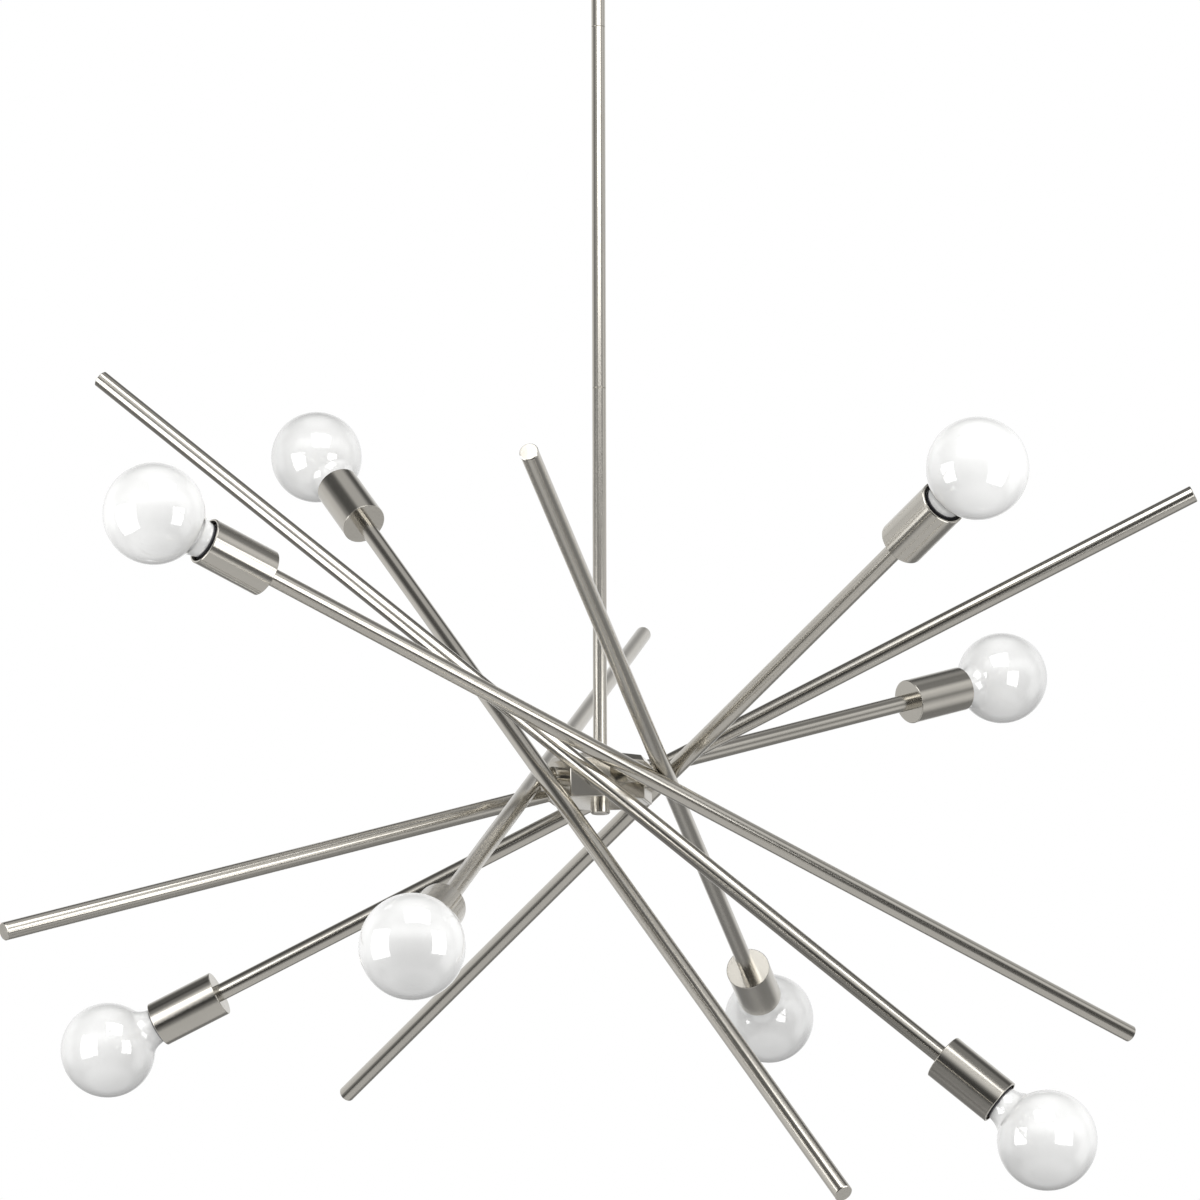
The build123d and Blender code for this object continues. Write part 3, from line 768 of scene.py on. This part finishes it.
def octagon_start(name, flats, level, turn):
    """Begins an eight-sided piece in edit mode, one side square to each pivot."""
    clear_bench()
    tip = flats / 2 / math.cos(EIGHTH / 2)
    bpy.ops.mesh.primitive_circle_add(
        vertices=8, radius=tip, fill_type="NGON", location=(0, 0, level),
        rotation=(0, 0, turn + EIGHTH / 2 - math.pi / 2),
    )
    piece = bpy.context.object
    piece.name = piece.data.name = name
    bpy.ops.object.transform_apply(location=True, rotation=True, scale=True)
    bpy.ops.object.mode_set(mode="EDIT")
    bpy.ops.mesh.select_mode(type="FACE")
    bpy.ops.mesh.select_all(action="SELECT")
    return piece


def pick_faces(piece, wanted):
    """Selects, in edit mode, the faces that pass a test."""
    bpy.ops.object.mode_set(mode="OBJECT")
    mesh = piece.data
    for items in (mesh.vertices, mesh.edges, mesh.polygons):
        for item in items:
            item.select = False
    for face in mesh.polygons:
        face.select = wanted(face)
    bpy.ops.object.mode_set(mode="EDIT")
    bpy.ops.mesh.select_mode(type="FACE")


class CHANDELIER_OT_hub(bpy.types.Operator):
    """Shape the eight-sided hub with its sloped shoulder, its base plate and the knob below"""

    bl_idname = "chandelier.hub"
    bl_label = "Hub"

    def execute(self, context):
        size = context.scene.chandelier_hub
        low, high = node_heights("hub_shell")
        knee = high - size.bevel_height
        hub = octagon_start("hub_body", size.flats, low, size.turn)
        ring(knee - low)
        ring(high - knee)
        scale = size.top_flats / size.flats
        bpy.ops.transform.resize(value=(scale, scale, 1), center_override=(0, 0, high))
        bpy.ops.mesh.select_all(action="SELECT")
        bpy.ops.mesh.normals_make_consistent(inside=False)
        pick_faces(hub, lambda face: face.normal.z < DOWNWARD)
        bpy.ops.mesh.inset(thickness=size.wall, depth=0)
        bpy.ops.mesh.extrude_region_move(TRANSFORM_OT_translate={"value": (0, 0, size.plate)})
        bpy.ops.object.mode_set(mode="OBJECT")
        finish_edges(hub, ease=size.corner * math.tan(EIGHTH / 2), steps=4)
        plate_nickel(hub)
        settle(hub, "stem_and_hub", "satin_nickel", "hub_shell")

        plate = octagon_start("hub_floor", size.flats - 2 * size.wall - PLATE_GAP, low, size.turn)
        ring(size.plate - PLATE_GAP)
        bpy.ops.mesh.select_all(action="SELECT")
        bpy.ops.mesh.normals_make_consistent(inside=False)
        bpy.ops.object.mode_set(mode="OBJECT")
        finish_edges(plate, ease=0.00025, steps=2)
        plate_nickel(plate)
        settle(plate, "stem_and_hub", "satin_nickel", "hub_base_plate")

        foot, top = node_heights("finial")
        radius, chamfer = size.finial_diameter / 2, 0.001
        outline = [(radius - chamfer, foot), (radius, foot + chamfer), (radius, top), (0, top)]
        knob = turned("finial_knob", outline, sides=96, ease=0.0002, steps=2)
        plate_nickel(knob)
        settle(knob, "stem_and_hub", "satin_nickel", "finial")
        return {"FINISHED"}


class CHANDELIER_OT_stem(bpy.types.Operator):
    """Turn the three screwed lengths of the stem, each with bevelled ends"""

    bl_idname = "chandelier.stem"
    bl_label = "Stem"

    def execute(self, context):
        size = context.scene.chandelier_hub
        radius, edge = size.stem_diameter / 2, size.stem_edge
        for name in ("stem_upper", "stem_middle", "stem_lower"):
            low, high = node_heights(name)
            outline = [(radius - edge, low), (radius, low + edge), (radius, (low + high) / 2),
                       (radius, high - edge), (radius - edge, high), (0, high)]
            tube = turned(name + "_tube", outline, sides=96)
            finish_edges(tube, ease=0.00008, steps=1)
            plate_nickel(tube)
            settle(tube, "stem_and_hub", "satin_nickel", name)
        return {"FINISHED"}


class CHANDELIER_OT_canopy(bpy.types.Operator):
    """Spin the ceiling cover with its rounded edge, and its two cap nuts"""

    bl_idname = "chandelier.canopy"
    bl_label = "Canopy"

    def execute(self, context):
        size = context.scene.chandelier_ceiling
        outer, depth, wall = size.canopy_diameter / 2, size.canopy_depth, size.canopy_wall
        curve, hole = size.canopy_round, size.canopy_hole / 2
        middle, skirt, facets = 0.035, -0.008, 8
        turns = [math.pi / 2 * step / facets for step in range(facets + 1)]
        outline = [(outer, 0), (outer, skirt)]
        outline += [(outer - curve + curve * math.cos(t), curve - depth - curve * math.sin(t)) for t in turns]
        outline += [(middle, -depth), (hole, -depth), (hole, wall - depth), (middle, wall - depth)]
        inner = curve - wall
        outline += [(outer - curve + inner * math.sin(t), curve - depth - inner * math.cos(t)) for t in turns]
        outline += [(outer - wall, skirt), (outer - wall, 0), (outer, 0)]
        cover = turned("canopy_cover", outline, sides=128, ease=0.0003, steps=2)
        plate_nickel(cover)
        settle(cover, "ceiling_mount", "satin_nickel", "canopy")

        low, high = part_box("canopy_nuts")
        radius, curve, taper_height, taper = size.nut_diameter / 2, 0.003, 0.0012, 0.0004
        outline = [(radius - curve + curve * math.sin(t), low.z + curve - curve * math.cos(t)) for t in turns]
        outline += [(radius, high.z - taper_height), (radius - taper, high.z), (0, high.z)]
        nut = turned("nut", outline, sides=64)
        plate_nickel(nut)
        for side, x in (("left", low.x + radius), ("right", high.x - radius)):
            shift = Matrix.Translation((x, 0, 0))
            place_copy(nut, f"canopy_nut_{side}", shift, "ceiling_mount", "satin_nickel", "canopy_nuts")
        bpy.data.objects.remove(nut)
        return {"FINISHED"}


class CHANDELIER_OT_fittings(bpy.types.Operator):
    """Finish the fittings that keep the frame's own shape: swivel, bracket, studs, nuts and lamp bases"""

    bl_idname = "chandelier.fittings"
    bl_label = "Fittings"

    def execute(self, context):
        look = context.scene.chandelier_finish
        nickel = brushed_nickel(turned_piece=False)
        steel = plain_metal("zinc plated steel", look.zinc, roughness=0.36, grain=90.0, relief=0.06,
                            stretch=(1, 4, 1))
        green = plain_metal("green dyed steel", look.green, roughness=0.3, grain=300.0, relief=0.08,
                            tarnish=0.6)
        rolled = plain_metal("rolled lamp base", look.lamp_base, roughness=0.28, grain=400.0, relief=0.08)
        repaint(nickel, "swivel_housing", "swivel_clevis", "swivel_pin", "swivel_knuckle")
        repaint(steel, "ceiling_crossbar")
        repaint(threaded_metal("zinc plated thread", look.zinc), "canopy_studs")
        repaint(green, "ground_screw")
        repaint(threaded_metal("brass thread", look.brass, coarseness=0.0009), "stem_couplers", "hub_nipple")
        repaint(plain_brass(look), "hub_nuts", "pivot_nuts")
        repaint(rolled, *(arm + "_bulb_base" for arm in ARMS))
        return {"FINISHED"}


# ---- studio ----
# Name, place, width and height in metres of each softbox.
SOFTBOXES = (
    ("left softbox", (-1.11, -0.68, -0.97), 0.90, 0.95),
    ("right softbox", (0.86, -0.91, -0.96), 0.72, 0.87),
    ("overhead softbox", (0.11, -0.93, 0.20), 1.13, 1.00),
)
SOFTBOX_RADIANCE = 2.5
FLOOR_FADE = 0.6  # the floor starts to fade at this share of its radius
FLOOR_TINT = 0.98
FLOOR_GLOW = 0.35
SKY_LEVEL = 0.25
SKY_FILL = 0.26  # added on plain surfaces, and left out of reflections
# Lighter and darker areas of the studio, each laid over the ones before it: its level, the angle
# that bounds it, its span of that angle, its span of elevation and the softness of its edge, in
# degrees. Azimuth is 0 in front and grows to the right, and swing is azimuth without its sign.
SKY_AREAS = (
    (0.55, "azimuth", (-200, 200), (70, 100), 6),  # ceiling
    (0.80, "azimuth", (-52, 84), (16, 38), 7),  # pale band above the camera's level
    (0.05, "azimuth", (-46, 72), (-32, 7), 6),  # dark gap below that band
    (0.80, "swing", (108, 200), (-8, 38), 9),  # pale wall behind
    (0.75, "azimuth", (78, 114), (-34, 2), 7),  # pale, low on the right
    (0.75, "azimuth", (66, 98), (4, 28), 7),  # pale, level on the right
    (0.70, "azimuth", (-118, -94), (-16, 20), 6),  # pale, level on the left
    (0.10, "swing", (95, 200), (46, 62), 6),  # dark, high behind
    (0.08, "azimuth", (-97, -70), (30, 66), 6),  # dark, high on the left
    (0.08, "azimuth", (-108, -88), (-52, -30), 6),  # dark, low on the left
    (0.08, "azimuth", (44, 66), (-62, -38), 6),  # dark, low on the right
)
# The part of the wall behind that reflections see as white as the camera does, in degrees.
WHITE_SWING = (165, 200)
WHITE_RISE = (-6, 20)
WHITE_SOFT = 8
CAMERA_PLACE = (-0.0130, -4.5042, -1.5603)
CAMERA_YAW, CAMERA_PITCH, CAMERA_ROLL = 0.00294, 0.18697, -0.00255  # radians
SENSOR_WIDTH = 36.0
FAR_CLIP = 100.0


def softbox(name, place, width, height, radiance):
    """A rectangular softbox that faces the hub and is seen only by what it lights."""
    lamp = bpy.data.lights.new(name, "AREA")
    lamp.shape = "RECTANGLE"
    lamp.size, lamp.size_y = width, height
    lamp.energy = math.pi * width * height * radiance
    rig = bpy.data.objects.new(name, lamp)
    bpy.context.scene.collection.objects.link(rig)
    rig.location = place
    away = Vector(place) - Vector((0, 0, PIVOT_LEVEL))
    rig.rotation_euler = away.to_track_quat("Z", "Y").to_euler()
    rig.visible_camera = False


def within(tree, value, low, high, soft):
    """A mask over a span of an angle, with soft edges, given in degrees."""
    low, high, soft = (math.radians(v) for v in (low, high, soft))
    up = spread(tree, value, 0.0, 1.0, start=low - soft, end=low + soft)
    down = spread(tree, value, 1.0, 0.0, start=high - soft, end=high + soft)
    return combine(tree, "MULTIPLY", up, down)


def blend_level(tree, factor, first, second):
    """A level between two."""
    mix = node(tree, "ShaderNodeMix", {0: factor, 2: first, 3: second}, data_type="FLOAT")
    return mix.outputs[0]


class CHANDELIER_OT_studio(bpy.types.Operator):
    """Set the white studio: fading floor, softboxes, dark gaps between them, and the camera"""

    bl_idname = "chandelier.studio"
    bl_label = "Studio"

    def execute(self, context):
        scene = context.scene
        scene.view_settings.view_transform = "Standard"
        self.lay_floor(scene.chandelier_studio)
        self.hang_sky(scene)
        for name, place, width, height in SOFTBOXES:
            softbox(name, place, width, height, SOFTBOX_RADIANCE)
        self.set_camera(scene)
        return {"FINISHED"}

    def lay_floor(self, settings):
        """Lays a round pale floor that fades at its edge and can't be seen from below."""
        clear_bench()
        bpy.ops.mesh.primitive_circle_add(
            vertices=96, radius=settings.floor_radius, fill_type="NGON",
            location=(0, 0, settings.floor_level),
        )
        floor = bpy.context.object
        floor.name = floor.data.name = "studio_floor"
        bpy.ops.object.transform_apply(location=True, rotation=True, scale=True)
        material, tree, shader = new_finish("studio floor")
        place = node(tree, "ShaderNodeTexCoord").outputs["Object"]
        flat = scaled(tree, place, (1, 1, 0))
        reach = node(tree, "ShaderNodeVectorMath", {0: flat}, operation="LENGTH").outputs["Value"]
        edge = settings.floor_radius
        fade = spread(tree, reach, 1.0, 0.0, start=FLOOR_FADE * edge, end=edge)
        front = combine(tree, "SUBTRACT", 1.0, node(tree, "ShaderNodeNewGeometry").outputs["Backfacing"])
        seen = node(tree, "ShaderNodeLightPath").outputs["Is Camera Ray"]
        grain = cloud(tree, place, 3.0, detail=3.0)
        colour = settings.floor_colour
        tone = blend_colour(tree, grain, opaque(colour), opaque(colour, FLOOR_TINT))
        join(tree, tone, shader, "Base Color")
        join(tree, combine(tree, "MULTIPLY", fade, front), shader, "Alpha")
        join(tree, combine(tree, "MULTIPLY", seen, FLOOR_GLOW), shader, "Emission Strength")
        shader.inputs["Emission Color"].default_value = (1, 1, 1, 1)
        shader.inputs["Roughness"].default_value = 0.9
        paint(floor, material)

    def hang_sky(self, scene):
        """Hangs a sky that is white to the camera and has lighter and darker areas for what it lights."""
        world = bpy.data.worlds.new("white studio")
        scene.world = world
        world.use_nodes = True
        tree = world.node_tree
        background = tree.nodes["Background"]
        way = node(tree, "ShaderNodeSeparateXYZ", {0: node(tree, "ShaderNodeTexCoord").outputs["Generated"]})
        x, y, z = way.outputs
        azimuth = combine(tree, "ARCTAN2", x, combine(tree, "MULTIPLY", y, -1.0))
        swing = combine(tree, "ABSOLUTE", azimuth)
        rise = combine(tree, "ARCSINE", z)
        sides = {"azimuth": azimuth, "swing": swing}

        light = SKY_LEVEL
        for level, side, span, elevations, soft in SKY_AREAS:
            mask = combine(tree, "MULTIPLY", within(tree, sides[side], *span, soft),
                           within(tree, rise, *elevations, soft))
            light = blend_level(tree, mask, light, level)

        path = node(tree, "ShaderNodeLightPath").outputs
        straight = combine(tree, "MAXIMUM", path["Is Camera Ray"], path["Is Transmission Ray"])
        behind = combine(tree, "MULTIPLY", within(tree, swing, *WHITE_SWING, WHITE_SOFT),
                         within(tree, rise, *WHITE_RISE, WHITE_SOFT))
        mirrored = combine(tree, "MULTIPLY", path["Is Glossy Ray"], behind)
        white = combine(tree, "MAXIMUM", straight, mirrored)
        fill = combine(tree, "MULTIPLY", path["Is Diffuse Ray"], SKY_FILL)
        strength = blend_level(tree, white, total(tree, light, fill), 1.0)
        join(tree, strength, background, "Strength")
        background.inputs["Color"].default_value = (1, 1, 1, 1)

    def set_camera(self, scene):
        """Stands the camera where it sees the chandelier as the photograph does."""
        flat = math.cos(CAMERA_PITCH)
        ahead = Vector((math.sin(CAMERA_YAW) * flat, math.cos(CAMERA_YAW) * flat, math.sin(CAMERA_PITCH)))
        level = Vector((math.cos(CAMERA_YAW), -math.sin(CAMERA_YAW), 0))
        upright = level.cross(ahead)
        right = level * math.cos(CAMERA_ROLL) + upright * math.sin(CAMERA_ROLL)
        up = upright * math.cos(CAMERA_ROLL) - level * math.sin(CAMERA_ROLL)
        camera = bpy.data.cameras.new("photograph camera")
        camera.lens = scene.chandelier_studio.lens
        camera.sensor_width = SENSOR_WIDTH
        camera.clip_end = FAR_CLIP
        stand = bpy.data.objects.new("photograph camera", camera)
        scene.collection.objects.link(stand)
        stand.location = CAMERA_PLACE
        stand.rotation_euler = Matrix((right, up, -ahead)).transposed().to_euler()
        scene.camera = stand


PIECE_OPERATORS = (
    CHANDELIER_OT_rods,
    CHANDELIER_OT_cups,
    CHANDELIER_OT_sockets,
    CHANDELIER_OT_globes,
    CHANDELIER_OT_pivots,
    CHANDELIER_OT_hub,
    CHANDELIER_OT_stem,
    CHANDELIER_OT_canopy,
    CHANDELIER_OT_fittings,
    CHANDELIER_OT_studio,
)


class CHANDELIER_PT_bench(bpy.types.Panel):
    """Pieces of the chandelier and the sizes they are made from"""

    bl_idname = "CHANDELIER_PT_bench"
    bl_label = "Sputnik Chandelier"
    bl_space_type = "VIEW_3D"
    bl_region_type = "UI"
    bl_category = "Chandelier"

    def draw(self, context):
        for operator in PIECE_OPERATORS:
            self.layout.operator(operator.bl_idname)
        for setting, group in SETTING_GROUPS.items():
            box = self.layout.box()
            values = getattr(context.scene, setting)
            for name in group.__annotations__:
                box.prop(values, name)


def register():
    """Adds the settings, the operators and the panel to Blender."""
    for group in SETTING_GROUPS.values():
        bpy.utils.register_class(group)
    for setting, group in SETTING_GROUPS.items():
        setattr(bpy.types.Scene, setting, bpy.props.PointerProperty(type=group))
    for operator in PIECE_OPERATORS:
        bpy.utils.register_class(operator)
    bpy.utils.register_class(CHANDELIER_PT_bench)


def unregister():
    """Takes the settings, the operators and the panel out of Blender."""
    bpy.utils.unregister_class(CHANDELIER_PT_bench)
    for operator in reversed(PIECE_OPERATORS):
        bpy.utils.unregister_class(operator)
    for setting, group in SETTING_GROUPS.items():
        delattr(bpy.types.Scene, setting)
        bpy.utils.unregister_class(group)


def main():
    """Makes every piece in order and sets the studio."""
    register()
    for piece in (
        "rods", "cups", "sockets", "globes", "pivots", "hub", "stem", "canopy", "fittings", "studio",
    ):
        getattr(bpy.ops.chandelier, piece)()


if __name__ == "__main__":
    main()
